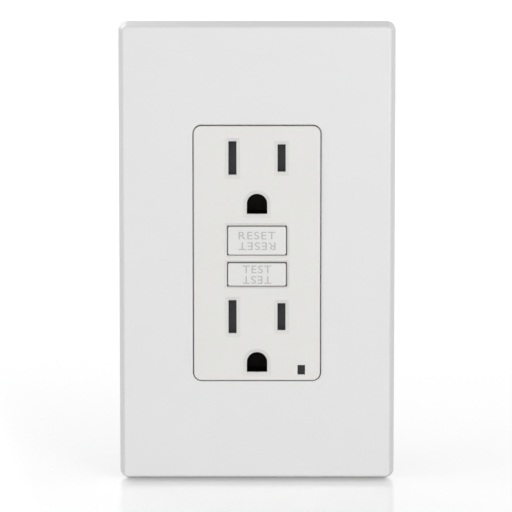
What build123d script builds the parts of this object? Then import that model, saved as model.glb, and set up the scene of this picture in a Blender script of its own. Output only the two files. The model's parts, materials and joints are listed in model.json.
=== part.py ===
from build123d import *
import math
import os

os.makedirs("parts", exist_ok=True)

# Frame: X to the right seen from the front, Y into the wall, Z up. The wall plane is y = 0
# and the origin is the centre of the device in that plane. Depths are values of y.

# ---- Driving dimensions (mm) ----
PLATE_W, PLATE_H = 71.8, 119.8      # wall plate at its back rim
PLATE_DEPTH = 6.0                   # wall plate, from wall to face
PLATE_WALL = 1.8
PLATE_DRAFT = 12.0                  # degrees that the rim leans in
PLATE_CORNER = 2.4
PLATE_EDGE = 0.75                   # rounding of the face's outer edge
OPENING_W, OPENING_H = 33.34, 66.85
OPENING_CORNER = 2.3
FACE_GAP = 0.3                      # device face to wall plate, each side
FACE_PROUD = 0.8                    # device face in front of wall plate
FACE_EDGE = 0.5
COVER_WALL = 1.8                    # front wall of the device cover
COVER_SIDE = 1.5                    # side walls of the device cover
CLEAR = 0.3                         # general clearance between pieces
RUNNING = 0.05                      # radial clearance of a guided shaft

OUTLET_Z = (24.8, -16.5)            # height of the blade slots of each receptacle
BLADE_X = 6.35                      # slot centre from the device's centre line
GROUND_DROP = 11.9                  # ground pin below the slots
SLOT_W = 2.1
NEUTRAL_SLOT_H, HOT_SLOT_H = 8.7, 7.1
GROUND_HOLE_W, GROUND_HOLE_H = 5.3, 5.25
FUNNEL_W, FUNNEL_DEPTH = 0.95, 0.7

BUTTON_W = 15.0
RESET_Z, RESET_H = 3.42, 7.3
TEST_Z, TEST_H = -5.37, 5.9
BUTTON_GAP = 0.25
BUTTON_PROUD = 0.35
BUTTON_FLANGE = 0.9                 # how far the retaining flange stands out
RESET_TRAVEL, TEST_TRAVEL = 1.8, 1.2
STEM_R = 1.4

LED_X, LED_Z = 11.5, -30.3
LED_W, LED_H = 1.75, 2.3

STRAP_T = 1.2
STRAP_W, STRAP_H = 41.0, 71.0
EAR_W, EAR_H = 21.0, 106.0
BOX_SCREW_Z = 41.67                 # device screws, 83.34 mm apart
PLATE_SCREW_Z = 48.4                # sub-plate screws, 96.8 mm apart
THREAD_R = 1.75                     # size 6-32 thread
BOX_SCREW_END = 21.0
RETAINER_T, RETAINER_W = 0.35, 8.4

SUB_T = 1.5
SUB_CLEAR = 0.35
SUB_HEAD_R = 3.7                    # clearance round a device screw head

HOUSING_W, HOUSING_H, HOUSING_D = 43.4, 71.0, 28.0
HOUSING_WALL = 1.8
COVER_SCREW_X, COVER_SCREW_Z = 14.2, 25.5
COVER_SCREW_R = 1.25
LEG_R = 1.9

TERMINAL_Z = 13.0                   # side terminals above and below the centre
TERMINAL_H = 9.0
TERMINAL_Y = 8.4                    # depth of a terminal screw's axis
TERMINAL_PLATE_X = 15.4
TERMINAL_T = 1.0
CLAMP_GAP, CLAMP_T = 2.0, 1.2
TERMINAL_SCREW_R = 2.0
TERMINAL_HEAD_R, TERMINAL_HEAD_T = 3.4, 2.1
TERMINAL_TRAVEL = 1.6
WIRE_HOLE_R = 1.3
WIRE_PITCH = 6.2

TRAY_W, TRAY_H = 22.8, 66.8         # outside of the contact carrier's tub
TRAY_WALL = 1.0
DECK_T = 1.4
FLOOR_Y, FLOOR_T = 12.8, 1.2        # tub floor
FOOT_H = 1.0
BOARD_T = 1.6
BOARD_W, BOARD_H = 22.4, 64.0
BRASS_T = 0.8
CONTACT_GAP = 1.6
GROUND_LEAF = 10.0                  # depth of the ground contact's leaves
RIVET_X = 4.6
RIVET_R = 0.75

LIFTER_W, LIFTER_H = 9.0, 6.4
LIFTER_Y0, LIFTER_Y1 = 9.4, 19.0
LIFTER_DROP = 1.5
LATCH_T = 0.8
LATCH_TRAVEL = 2.2
TAB_Z, TAB_HALF = 7.4, 1.6          # bent tab that the plunger pushes
ARM_X, ARM_W, ARM_T = 9.25, 1.7, 0.4

SHUTTER_T, SHUTTER_TRAVEL = 1.6, 2.6
SHUTTER_H = 9.6
CORE_R = 8.2
CORE_Z = -20.0
COIL_Z0, COIL_Z1 = 10.5, 24.5
BOBBIN_R = 4.0

# ---- Derived places ----
FACE_Y = -(PLATE_DEPTH + FACE_PROUD)
FACE_W = OPENING_W - 2 * FACE_GAP
FACE_H = OPENING_H - 2 * FACE_GAP
COVER_IN_Y = FACE_Y + COVER_WALL
STRAP_Y = -STRAP_T
SUB_Y = STRAP_Y - SUB_T
BOARD_Y = FLOOR_Y + FLOOR_T + FOOT_H
BOARD_BACK = BOARD_Y + BOARD_T
HOUSING_IN_Y = HOUSING_D - HOUSING_WALL
HOUSING_IN_W = HOUSING_W - 2 * HOUSING_WALL
HOUSING_IN_H = HOUSING_H - 2 * HOUSING_WALL
POCKET_WALL = 0.8
POCKET_X = 13.0
POCKET_H = TERMINAL_H + 2 * CLEAR
LINK_Y0, LINK_Y1 = 3.2, 4.2
CLAMP_X = TERMINAL_PLATE_X + TERMINAL_T + CLAMP_GAP
LATCH_Y = BOARD_BACK + 0.4
FLANGE_Y = LATCH_Y + LATCH_T + 0.35
TRAY_TOP = STRAP_Y - 1.4            # front of the shutter trays


def depth(y):
    """The plane at depth y; its normal faces the front."""
    return Plane.XZ.offset(-y)


def save(piece, name):
    piece.part.label = name
    export_step(piece.part, f"parts/{name}.step")


def export_all(pieces):
    for name, piece in pieces.items():
        save(piece, name)


def pin(x, z, radius, y0, y1):
    """A round pin along Y from depth y0 to y1."""
    with BuildSketch(depth(y1)) as disc:
        with Locations((x, z)):
            Circle(radius)
    extrude(disc.sketch, amount=y1 - y0)


def round_cut(x, z, radius, y0, y1):
    with BuildSketch(depth(y1)) as disc:
        with Locations((x, z)):
            Circle(radius)
    extrude(disc.sketch, amount=y1 - y0, mode=Mode.SUBTRACT)


def block(x0, x1, y0, y1, z0, z1, mode=Mode.ADD):
    """A box given by its two corners."""
    with Locations(((x0 + x1) / 2, (y0 + y1) / 2, (z0 + z1) / 2)):
        Box(x1 - x0, y1 - y0, z1 - z0, mode=mode)


def coil_spring(start, direction, radius, wire, length, turns):
    """A coil spring with its first turn centred on start."""
    with BuildPart() as spring:
        with BuildLine() as path:
            Helix(pitch=length / turns, height=length, radius=radius, center=start, direction=direction)
        with BuildSketch(Plane(origin=path.line @ 0, z_dir=path.line % 0)):
            Circle(wire / 2)
        sweep(is_frenet=True)
    return spring


# ---- Wall plate and what holds it ----
plate_inner_w = PLATE_W - 2 * PLATE_WALL
plate_inner_h = PLATE_H - 2 * PLATE_WALL
draft = math.tan(math.radians(PLATE_DRAFT))
sub_w = plate_inner_w - 2 * (-SUB_Y * draft + SUB_CLEAR)
sub_h = plate_inner_h - 2 * (-SUB_Y * draft + SUB_CLEAR)

with BuildPart() as plate_cover:
    with BuildSketch(depth(0)):
        RectangleRounded(PLATE_W, PLATE_H, PLATE_CORNER)
    extrude(amount=PLATE_DEPTH, taper=PLATE_DRAFT)
    fillet(plate_cover.faces().sort_by(Axis.Y)[0].edges(), PLATE_EDGE)
    with BuildSketch(depth(0)):
        RectangleRounded(plate_inner_w, plate_inner_h, PLATE_CORNER - 1)
    extrude(amount=PLATE_DEPTH - PLATE_WALL, taper=PLATE_DRAFT, mode=Mode.SUBTRACT)
    with BuildSketch(depth(0)):
        RectangleRounded(OPENING_W, OPENING_H, OPENING_CORNER)
    extrude(amount=PLATE_DEPTH, mode=Mode.SUBTRACT)
    # ribs that grip the edges of the sub-plate
    rib_end = -(PLATE_DEPTH - PLATE_WALL)
    for side in (-1, 1):
        for z in (-38, -13, 13, 38):
            inner = side * (sub_w / 2 + RUNNING)
            outer = side * (plate_inner_w / 2 + 0.2)
            block(min(inner, outer), max(inner, outer), rib_end - 0.2, -1.0, z - 0.6, z + 0.6)
        for x in (-20, 20):
            inner = side * (sub_h / 2 + RUNNING)
            outer = side * (plate_inner_h / 2 + 0.2)
            block(x - 0.6, x + 0.6, rib_end - 0.2, -1.0, min(inner, outer), max(inner, outer))

with BuildPart() as subplate:
    with BuildSketch(depth(STRAP_Y)):
        RectangleRounded(sub_w, sub_h, 1.5)
        RectangleRounded(OPENING_W + 0.6, OPENING_H + 0.6, OPENING_CORNER, mode=Mode.SUBTRACT)
        with Locations((0, BOX_SCREW_Z), (0, -BOX_SCREW_Z)):
            Circle(SUB_HEAD_R, mode=Mode.SUBTRACT)
        with Locations((0, BOX_SCREW_Z - 4), (0, 4 - BOX_SCREW_Z)):
            Rectangle(2 * SUB_HEAD_R, 8, mode=Mode.SUBTRACT)
        with Locations((0, PLATE_SCREW_Z), (0, -PLATE_SCREW_Z)):
            Circle(THREAD_R + 0.15, mode=Mode.SUBTRACT)
    extrude(amount=SUB_T)

with BuildPart() as plate_screws:
    for side in (-1, 1):
        z = side * PLATE_SCREW_Z
        pin(0, z, 2.8, SUB_Y - 1.2, SUB_Y)
        pin(0, z, THREAD_R, SUB_Y, 4.0)
        block(-2.0, 2.0, SUB_Y - 1.2, SUB_Y - 0.6, z - 0.4, z + 0.4, Mode.SUBTRACT)

# ---- Device cover ----
def slot_sketch(plane):
    """All blade slots and ground holes."""
    with BuildSketch(plane) as holes:
        for z in OUTLET_Z:
            with Locations((-BLADE_X, z)):
                Rectangle(SLOT_W, NEUTRAL_SLOT_H)
            with Locations((BLADE_X, z)):
                Rectangle(SLOT_W, HOT_SLOT_H)
            drop = z - GROUND_DROP
            radius = GROUND_HOLE_W / 2
            foot = GROUND_HOLE_H - radius
            with Locations((0, drop)):
                Circle(radius)
            with Locations((0, drop - foot / 2)):
                Rectangle(GROUND_HOLE_W, foot)
    return holes


def buttons():
    return ((RESET_Z, RESET_H), (TEST_Z, TEST_H))


with BuildPart() as front_cover:
    with BuildSketch(depth(STRAP_Y)):
        RectangleRounded(FACE_W, FACE_H, OPENING_CORNER - FACE_GAP)
    extrude(amount=STRAP_Y - FACE_Y)
    fillet(front_cover.faces().sort_by(Axis.Y)[0].edges(), FACE_EDGE)
    with BuildSketch(depth(STRAP_Y)):
        RectangleRounded(FACE_W - 2 * COVER_SIDE, FACE_H - 2 * COVER_SIDE, 1.0)
    extrude(amount=STRAP_Y - COVER_IN_Y, mode=Mode.SUBTRACT)
    extrude(slot_sketch(depth(0)).sketch, amount=-FACE_Y, mode=Mode.SUBTRACT)
    for z in OUTLET_Z:
        for x, h in ((-BLADE_X, NEUTRAL_SLOT_H), (BLADE_X, HOT_SLOT_H)):
            with BuildSketch(depth(FACE_Y + FUNNEL_DEPTH)):
                with Locations((x, z)):
                    Rectangle(SLOT_W, h)
            with BuildSketch(depth(FACE_Y)):
                with Locations((x, z)):
                    Rectangle(SLOT_W + 2 * FUNNEL_W, h + 2 * FUNNEL_W)
            loft(mode=Mode.SUBTRACT)
        radius = GROUND_HOLE_W / 2
        foot = GROUND_HOLE_H - radius
        for y, grow in ((FACE_Y + FUNNEL_DEPTH, 0), (FACE_Y, FUNNEL_W)):
            with BuildSketch(depth(y)):
                with BuildLine():
                    wide = radius + grow
                    low = z - GROUND_DROP - foot - grow
                    centre = z - GROUND_DROP
                    ThreePointArc((-wide, centre), (0, centre + wide), (wide, centre))
                    Polyline((wide, centre), (wide, low), (-wide, low), (-wide, centre))
                make_face()
        loft(mode=Mode.SUBTRACT)
    for z, h in buttons():
        with BuildSketch(depth(0)):
            with Locations((0, z)):
                Rectangle(BUTTON_W + 2 * BUTTON_GAP, h + 2 * BUTTON_GAP)
        extrude(amount=-FACE_Y, mode=Mode.SUBTRACT)
        rim = 0.75 if h == RESET_H else 0.45
        with BuildSketch(depth(FACE_Y + 0.45)):
            with Locations((0, z)):
                Rectangle(BUTTON_W + 2 * BUTTON_GAP, h + 2 * BUTTON_GAP)
        with BuildSketch(depth(FACE_Y)):
            with Locations((0, z)):
                Rectangle(BUTTON_W + 2 * BUTTON_GAP + 1.5, h + 2 * BUTTON_GAP + 2 * rim)
        loft(mode=Mode.SUBTRACT)
    block(LED_X - LED_W / 2 - 0.1, LED_X + LED_W / 2 + 0.1, FACE_Y - 1, 0,
          LED_Z - LED_H / 2 - 0.1, LED_Z + LED_H / 2 + 0.1, Mode.SUBTRACT)
    # legs that take the housing screws
    for x in (-COVER_SCREW_X, COVER_SCREW_X):
        for z in (-COVER_SCREW_Z, COVER_SCREW_Z):
            pin(x, z, LEG_R, COVER_IN_Y - 0.2, 0)
            round_cut(x, z, COVER_SCREW_R + RUNNING, COVER_IN_Y + 0.4, 0.1)


def button(z, height, stem_end):
    with BuildPart() as cap:
        front = FACE_Y - BUTTON_PROUD
        with BuildSketch(depth(COVER_IN_Y + CLEAR)):
            with Locations((0, z)):
                RectangleRounded(BUTTON_W, height, 0.5)
        extrude(amount=COVER_IN_Y + CLEAR - front)
        fillet(cap.faces().sort_by(Axis.Y)[0].edges(), 0.3)
        flange_w = BUTTON_W / 2 + BUTTON_FLANGE
        block(-flange_w, flange_w, COVER_IN_Y + CLEAR, COVER_IN_Y + CLEAR + 0.8,
              z - height / 2 + 0.1, z + height / 2 - 0.1)
        pin(0, z, STEM_R, COVER_IN_Y + CLEAR, stem_end)
    return cap


reset_end = FLANGE_Y + 1.25
reset_cap = button(RESET_Z, RESET_H, reset_end)
with BuildPart() as reset_button:
    add(reset_cap.part)
    with BuildSketch(depth(FLANGE_Y)):
        with Locations((0, RESET_Z)):
            Circle(STEM_R + 0.1)
            Circle(0.9, mode=Mode.SUBTRACT)
    extrude(amount=FLANGE_Y - (LATCH_Y - RESET_TRAVEL - 0.2), mode=Mode.SUBTRACT)

test_end = 8.0
test_button = button(TEST_Z, TEST_H, test_end)
spring_front = COVER_IN_Y + CLEAR + 0.8
reset_spring = coil_spring((0, -0.3, RESET_Z), (0, -1, 0), 2.4, 0.5, -0.3 - spring_front - 0.3, 3)
test_spring = coil_spring((0, -0.3, TEST_Z), (0, -1, 0), 2.1, 0.5, -0.3 - spring_front - 0.3, 3)

with BuildPart() as led_lens:
    block(LED_X - LED_W / 2, LED_X + LED_W / 2, FACE_Y, BOARD_Y - 1.0, LED_Z - LED_H / 2, LED_Z + LED_H / 2)
    block(LED_X - LED_W / 2 - 0.5, LED_X + LED_W / 2 + 0.5, COVER_IN_Y, COVER_IN_Y + 1.0,
          LED_Z - LED_H / 2, LED_Z + LED_H / 2 + 0.5)

with BuildPart() as status_led:
    block(LED_X - 0.8, LED_X + 0.8, BOARD_Y - 0.8, BOARD_Y, LED_Z - 0.6, LED_Z + 0.6)


# ---- Shutters ----
def shutter_tray(z0):
    half = FACE_W / 2 - COVER_SIDE - CLEAR
    with BuildPart() as tray:
        block(-10.6, half - 2.5, TRAY_TOP, STRAP_Y, z0 - SHUTTER_H / 2 - 0.4, z0 + SHUTTER_H / 2 + 0.4)
        for x in (-BLADE_X, BLADE_X):
            block(x - SLOT_W / 2 - 0.1, x + SLOT_W / 2 + 0.1, TRAY_TOP - 1, 0,
                  z0 - NEUTRAL_SLOT_H / 2 - 0.1, z0 + NEUTRAL_SLOT_H / 2 + 0.1, Mode.SUBTRACT)
        block(1.1, 1.7, COVER_IN_Y + CLEAR, TRAY_TOP, z0 - 1.0, z0 + 1.0)
        for side in (-1, 1):
            edge = z0 + side * (SHUTTER_H / 2 + 0.25)
            block(-10.6, half - 2.5, COVER_IN_Y + CLEAR, TRAY_TOP, edge - 0.15, edge + 0.15)
    return tray


def shutter(z0):
    back = TRAY_TOP - 0.1
    front = back - SHUTTER_T
    with BuildPart() as slide:
        block(-10.5, 8.6, front, back, z0 - SHUTTER_H / 2, z0 + SHUTTER_H / 2)
        for x in (-BLADE_X, BLADE_X):
            window = x - SHUTTER_TRAVEL
            block(window - 1.15, window + 1.15, front - 1, 0, z0 - 4.4, z0 + 4.4, Mode.SUBTRACT)
            # ramp that the blade pushes on
            with BuildSketch(Plane.XY.offset(z0 - 4.4)):
                with BuildLine():
                    Polyline((x - 1.45, front), (x + 1.1, front), (x - 1.45, front + 1.0), close=True)
                make_face()
            extrude(amount=8.8, mode=Mode.SUBTRACT)
        block(-4.6, 2.0, front - 1, 0, z0 - 1.3, z0 + 1.3, Mode.SUBTRACT)
    return slide


upper_shutter_tray = shutter_tray(OUTLET_Z[0])
lower_shutter_tray = shutter_tray(OUTLET_Z[1])
upper_shutter = shutter(OUTLET_Z[0])
lower_shutter = shutter(OUTLET_Z[1])
shutter_y = TRAY_TOP - 1.05
upper_shutter_spring = coil_spring((-4.35, shutter_y, OUTLET_Z[0]), (1, 0, 0), 0.75, 0.25, 5.2, 6)
lower_shutter_spring = coil_spring((-4.35, shutter_y, OUTLET_Z[1]), (1, 0, 0), 0.75, 0.25, 5.2, 6)

# ---- Strap, its screws and the ground path ----
tab_x0, tab_x1 = -STRAP_W / 2 + 1.0, -EAR_W / 2 - 1.0
tab_z = -HOUSING_H / 2 - 1.0
ground_screw_x = (tab_x0 + tab_x1) / 2
ground_screw_y = 6.0

with BuildPart() as mounting_strap:
    with BuildSketch(depth(0)):
        RectangleRounded(STRAP_W, STRAP_H, 2.0)
        RectangleRounded(EAR_W, EAR_H, 3.0)
        with Locations(((tab_x0 + tab_x1) / 2, (tab_z - STRAP_T - STRAP_H / 2 + 3) / 2)):
            Rectangle(tab_x1 - tab_x0, -STRAP_H / 2 + 3 - tab_z + STRAP_T)
        with Locations((0, (RESET_Z + TEST_Z) / 2)):
            Rectangle(18.0, 18.0, mode=Mode.SUBTRACT)
        for z in OUTLET_Z:
            with Locations((-BLADE_X, z), (BLADE_X, z)):
                Rectangle(4.6, 10.0, mode=Mode.SUBTRACT)
            with Locations((0, z - GROUND_DROP - 0.35)):
                Rectangle(GROUND_HOLE_W + 0.7, GROUND_HOLE_H + 1.45, mode=Mode.SUBTRACT)
            with Locations((-RIVET_X, z - GROUND_DROP), (RIVET_X, z - GROUND_DROP)):
                Circle(RIVET_R + RUNNING, mode=Mode.SUBTRACT)
        with Locations((LED_X, LED_Z)):
            Rectangle(LED_W + 0.6, LED_H + 0.6, mode=Mode.SUBTRACT)
        for x in (-COVER_SCREW_X, COVER_SCREW_X):
            with Locations((x, COVER_SCREW_Z), (x, -COVER_SCREW_Z)):
                Circle(LEG_R + 0.15, mode=Mode.SUBTRACT)
        with Locations((0, PLATE_SCREW_Z), (0, -PLATE_SCREW_Z)):
            Circle(THREAD_R + RUNNING, mode=Mode.SUBTRACT)
        with Locations((0, BOX_SCREW_Z), (0, -BOX_SCREW_Z)):
            SlotOverall(6.4, 4.0, mode=Mode.SUBTRACT)
    extrude(amount=STRAP_T)
    # bent tab for the ground screw
    block(tab_x0, tab_x1, STRAP_Y, 11.0, tab_z - STRAP_T, tab_z)
    with BuildSketch(Plane.XY.offset(tab_z)):
        with Locations((ground_screw_x, ground_screw_y)):
            Circle(TERMINAL_SCREW_R + RUNNING)
    extrude(amount=-STRAP_T, mode=Mode.SUBTRACT)

with BuildPart() as ground_screw:
    head_z = tab_z - STRAP_T - 0.4
    with BuildSketch(Plane.XY.offset(head_z)):
        with Locations((ground_screw_x, ground_screw_y)):
            RegularPolygon(3.6, 6)
    extrude(amount=-2.2)
    with BuildSketch(Plane.XY.offset(head_z)):
        with Locations((ground_screw_x, ground_screw_y)):
            Circle(TERMINAL_SCREW_R)
    extrude(amount=2.3)
    block(ground_screw_x - 4, ground_screw_x + 4, ground_screw_y - 0.45, ground_screw_y + 0.45,
          head_z - 3, head_z - 1.3, Mode.SUBTRACT)

with BuildPart() as ground_contacts:
    for z in OUTLET_Z:
        centre = z - GROUND_DROP
        with BuildSketch(depth(BRASS_T)):
            with Locations((0, centre)):
                Rectangle(11.6, 6.4)
            with Locations((0, centre - 0.65)):
                Rectangle(GROUND_HOLE_W, 6.7, mode=Mode.SUBTRACT)
            with Locations((-RIVET_X, centre), (RIVET_X, centre)):
                Circle(RIVET_R + RUNNING, mode=Mode.SUBTRACT)
        extrude(amount=BRASS_T)
        for side in (-1, 1):
            leaf = side * (GROUND_HOLE_W / 2 + 0.3)
            block(leaf - 0.3, leaf + 0.3, 0, GROUND_LEAF, centre - 2.2, centre + 2.2)

with BuildPart() as ground_rivets:
    for z in OUTLET_Z:
        for x in (-RIVET_X, RIVET_X):
            pin(x, z - GROUND_DROP, RIVET_R, STRAP_Y, BRASS_T)
            pin(x, z - GROUND_DROP, 1.1, BRASS_T, BRASS_T + 0.5)

with BuildPart() as mounting_screws:
    for side in (-1, 1):
        z = side * BOX_SCREW_Z
        pin(0, z, 3.3, STRAP_Y - 1.9, STRAP_Y)
        pin(0, z, THREAD_R - 0.2, STRAP_Y, RETAINER_T + 0.1)
        pin(0, z, THREAD_R, RETAINER_T + 0.1, BOX_SCREW_END)
        block(-3.5, 3.5, STRAP_Y - 2.0, STRAP_Y - 1.0, z - 0.45, z + 0.45, Mode.SUBTRACT)

with BuildPart() as screw_retainers:
    for side in (-1, 1):
        with BuildSketch(depth(RETAINER_T)):
            with Locations((0, side * BOX_SCREW_Z)):
                RectangleRounded(RETAINER_W, RETAINER_W, 0.6)
                Circle(THREAD_R - 0.2 + RUNNING, mode=Mode.SUBTRACT)
        extrude(amount=RETAINER_T)

# ---- Rear housing ----
pockets = [(side, z) for side in (-1, 1) for z in (-TERMINAL_Z, TERMINAL_Z)]
corner_posts = [(x, z) for x in (-COVER_SCREW_X, COVER_SCREW_X) for z in (-COVER_SCREW_Z, COVER_SCREW_Z)]
board_posts = [(x, z) for x in (-9.0, 9.0) for z in (-30.0, 30.0)]
WIRE_X = TERMINAL_PLATE_X + TERMINAL_T + CLAMP_GAP / 2

with BuildPart() as rear_housing:
    with BuildSketch(depth(HOUSING_D)):
        RectangleRounded(HOUSING_W, HOUSING_H, 2.5)
    extrude(amount=HOUSING_D)
    fillet(rear_housing.faces().sort_by(Axis.Y)[-1].edges(), 1.0)
    with BuildSketch(depth(HOUSING_IN_Y)):
        RectangleRounded(HOUSING_IN_W, HOUSING_IN_H, 1.0)
    extrude(amount=HOUSING_IN_Y, mode=Mode.SUBTRACT)
    for side, z in pockets:
        x0, x1 = sorted((side * POCKET_X, side * HOUSING_IN_W / 2))
        top = LINK_Y1 + 0.3
        for edge in (z - POCKET_H / 2 - POCKET_WALL, z + POCKET_H / 2):
            block(x0, x1, top, HOUSING_IN_Y, edge, edge + POCKET_WALL)
        w0, w1 = sorted((side * POCKET_X, side * (POCKET_X + POCKET_WALL)))
        block(w0, w1, top, HOUSING_IN_Y, z - POCKET_H / 2 - POCKET_WALL, z + POCKET_H / 2 + POCKET_WALL)
        s0, s1 = sorted((side * (HOUSING_IN_W / 2 - 0.1), side * (HOUSING_W / 2 + 0.1)))
        block(s0, s1, LINK_Y0 - 0.4, 13.8, z - POCKET_H / 2, z + POCKET_H / 2, Mode.SUBTRACT)
        for step in (-WIRE_PITCH / 2, WIRE_PITCH / 2):
            round_cut(side * WIRE_X, z + step, WIRE_HOLE_R, HOUSING_IN_Y - 0.1, HOUSING_D + 0.1)
    for x, z in corner_posts:
        pin(x, z, COVER_SCREW_R + 1.1, DECK_T, HOUSING_IN_Y + 0.1)
        round_cut(x, z, COVER_SCREW_R + 0.15, 0, HOUSING_D + 0.1)
        round_cut(x, z, 2.5, HOUSING_D - 1.3, HOUSING_D + 0.1)
    for x, z in board_posts:
        pin(x, z, 1.5, BOARD_BACK, HOUSING_IN_Y + 0.1)

with BuildPart() as housing_screws:
    for x, z in corner_posts:
        pin(x, z, COVER_SCREW_R, -3.8, HOUSING_D - 1.3)
        pin(x, z, 2.3, HOUSING_D - 1.3, HOUSING_D - 0.1)
        block(x - 1.5, x + 1.5, HOUSING_D - 0.7, HOUSING_D, z - 0.3, z + 0.3, Mode.SUBTRACT)
        block(x - 0.3, x + 0.3, HOUSING_D - 0.7, HOUSING_D, z - 1.5, z + 1.5, Mode.SUBTRACT)

# ---- Contact carrier ----
tray_in_w = TRAY_W - 2 * TRAY_WALL
window_top = RESET_Z + RESET_H / 2 + 1.4
window_low = TEST_Z - TEST_H / 2 - 1.4
bus_x = BLADE_X + CONTACT_GAP / 2

with BuildPart() as contact_carrier:
    with BuildSketch(depth(DECK_T)):
        RectangleRounded(HOUSING_IN_W - 2 * CLEAR, HOUSING_IN_H - 2 * CLEAR, 0.8)
        for x, z in corner_posts:
            with Locations((x, z)):
                Circle(COVER_SCREW_R + 0.15, mode=Mode.SUBTRACT)
    extrude(amount=DECK_T)
    block(-TRAY_W / 2, TRAY_W / 2, 0, FLOOR_Y + FLOOR_T, -TRAY_H / 2, TRAY_H / 2)
    for z0, z1 in ((window_top + 1, TRAY_H / 2 - TRAY_WALL), (-TRAY_H / 2 + TRAY_WALL, window_low - 1)):
        block(-tray_in_w / 2, tray_in_w / 2, -1, FLOOR_Y, z0, z1, Mode.SUBTRACT)
    block(-tray_in_w / 2, tray_in_w / 2, DECK_T, FLOOR_Y, window_low, window_top, Mode.SUBTRACT)
    for side in (-1, 1):
        b0, b1 = sorted((side * (bus_x - 0.15), side * (bus_x + BRASS_T + 0.15)))
        block(b0, b1, -1, 7.6, window_low - 1.1, window_top + 1.1, Mode.SUBTRACT)
        n0, n1 = sorted((side * (tray_in_w / 2 - 0.1), side * (TRAY_W / 2 + 0.1)))
        block(n0, n1, DECK_T, LINK_Y1 + 0.2, TERMINAL_Z - 2.3, TERMINAL_Z + 2.3, Mode.SUBTRACT)
        a0, a1 = sorted((side * (ARM_X - ARM_W / 2 - 0.1), side * (ARM_X + ARM_W / 2 + 0.1)))
        block(a0, a1, FLOOR_Y - 1, BOARD_Y, -8.0, -7.3, Mode.SUBTRACT)
    for z in (RESET_Z, TEST_Z):
        round_cut(0, z, STEM_R + RUNNING, -0.1, DECK_T + 0.1)
    block(-LIFTER_W / 2 - 0.2, LIFTER_W / 2 + 0.2, FLOOR_Y - 1, BOARD_Y,
          RESET_Z - LIFTER_H / 2 - 0.2, RESET_Z + LIFTER_H / 2 + 0.2, Mode.SUBTRACT)
    block(-5.7, -5.1, FLOOR_Y - 1, BOARD_Y, TEST_Z - 1.1, TEST_Z + 1.1, Mode.SUBTRACT)
    block(0.9, 1.7, FLOOR_Y - 1, BOARD_Y, TEST_Z - 1.1, TEST_Z + 1.1, Mode.SUBTRACT)
    block(LED_X - LED_W / 2 - 0.2, LED_X + LED_W / 2 + 0.2, -1, BOARD_Y,
          LED_Z - LED_H / 2 - 0.2, LED_Z + LED_H / 2 + 0.2, Mode.SUBTRACT)
    for x, z in board_posts:
        pin(x, z, 1.2, FLOOR_Y + FLOOR_T - 0.1, BOARD_Y)


def contact_strip(side):
    """Bus bar with two blade contacts, the load terminal and a tab for the fixed contact."""
    def span(a, b):
        return sorted((side * a, side * b))

    with BuildPart() as strip:
        x0, x1 = span(bus_x, bus_x + BRASS_T)
        block(x0, x1, 2.0, 7.4, OUTLET_Z[1] - 4, OUTLET_Z[0] + 4)
        for z in OUTLET_Z:
            block(x0, x1, 2.0, FLOOR_Y, z - 4, z + 4)
            inner = BLADE_X - CONTACT_GAP / 2
            i0, i1 = span(inner - BRASS_T, inner)
            block(i0, i1, 2.0, FLOOR_Y, z - 4, z + 4)
            f0, f1 = span(inner - BRASS_T, bus_x + BRASS_T)
            block(f0, f1, FLOOR_Y - BRASS_T, FLOOR_Y, z - 4, z + 4)
        t0, t1 = span(bus_x, ARM_X + ARM_W / 2)
        block(t0, t1, 6.6, 7.4, RESET_Z - 1.2, RESET_Z + 1.2)
        l0, l1 = span(bus_x, TERMINAL_PLATE_X + TERMINAL_T)
        block(l0, l1, LINK_Y0, LINK_Y1, TERMINAL_Z - 2, TERMINAL_Z + 2)
        p0, p1 = span(TERMINAL_PLATE_X, TERMINAL_PLATE_X + TERMINAL_T)
        block(p0, p1, LINK_Y0, 13.2, TERMINAL_Z - TERMINAL_H / 2, TERMINAL_Z + TERMINAL_H / 2)
        with BuildSketch(Plane.YZ.offset(p0)):
            with Locations((TERMINAL_Y, TERMINAL_Z)):
                Circle(TERMINAL_SCREW_R + RUNNING)
        extrude(amount=TERMINAL_T, mode=Mode.SUBTRACT)
    return strip


def line_terminal(side):
    """Terminal plate with a leg that goes through the circuit board."""
    with BuildPart() as terminal:
        p0, p1 = sorted((side * TERMINAL_PLATE_X, side * (TERMINAL_PLATE_X + TERMINAL_T)))
        block(p0, p1, LINK_Y0, 13.2, -TERMINAL_Z - TERMINAL_H / 2, -TERMINAL_Z + TERMINAL_H / 2)
        with BuildSketch(Plane.YZ.offset(p0)):
            with Locations((TERMINAL_Y, -TERMINAL_Z)):
                Circle(TERMINAL_SCREW_R + RUNNING)
        extrude(amount=TERMINAL_T, mode=Mode.SUBTRACT)
        l0, l1 = sorted((side * (POCKET_X - 1.3), side * (TERMINAL_PLATE_X + TERMINAL_T)))
        block(l0, l1, LINK_Y0, LINK_Y1, -TERMINAL_Z - 2, -TERMINAL_Z + 2)
        g0, g1 = sorted((side * (POCKET_X - 1.3), side * (POCKET_X - 0.6)))
        block(g0, g1, LINK_Y0, BOARD_BACK + 0.8, -TERMINAL_Z - 1.5, -TERMINAL_Z + 1.5)
    return terminal


def clamp_plate(side, z):
    with BuildPart() as clamp:
        x0, x1 = sorted((side * CLAMP_X, side * (CLAMP_X + CLAMP_T)))
        block(x0, x1, TERMINAL_Y - 4.0, TERMINAL_Y + 4.2, z - 4.3, z + 4.3)
        with BuildSketch(Plane.YZ.offset(x0)):
            with Locations((TERMINAL_Y, z)):
                Circle(TERMINAL_SCREW_R + 0.1)
        extrude(amount=CLAMP_T, mode=Mode.SUBTRACT)
    return clamp


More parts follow.
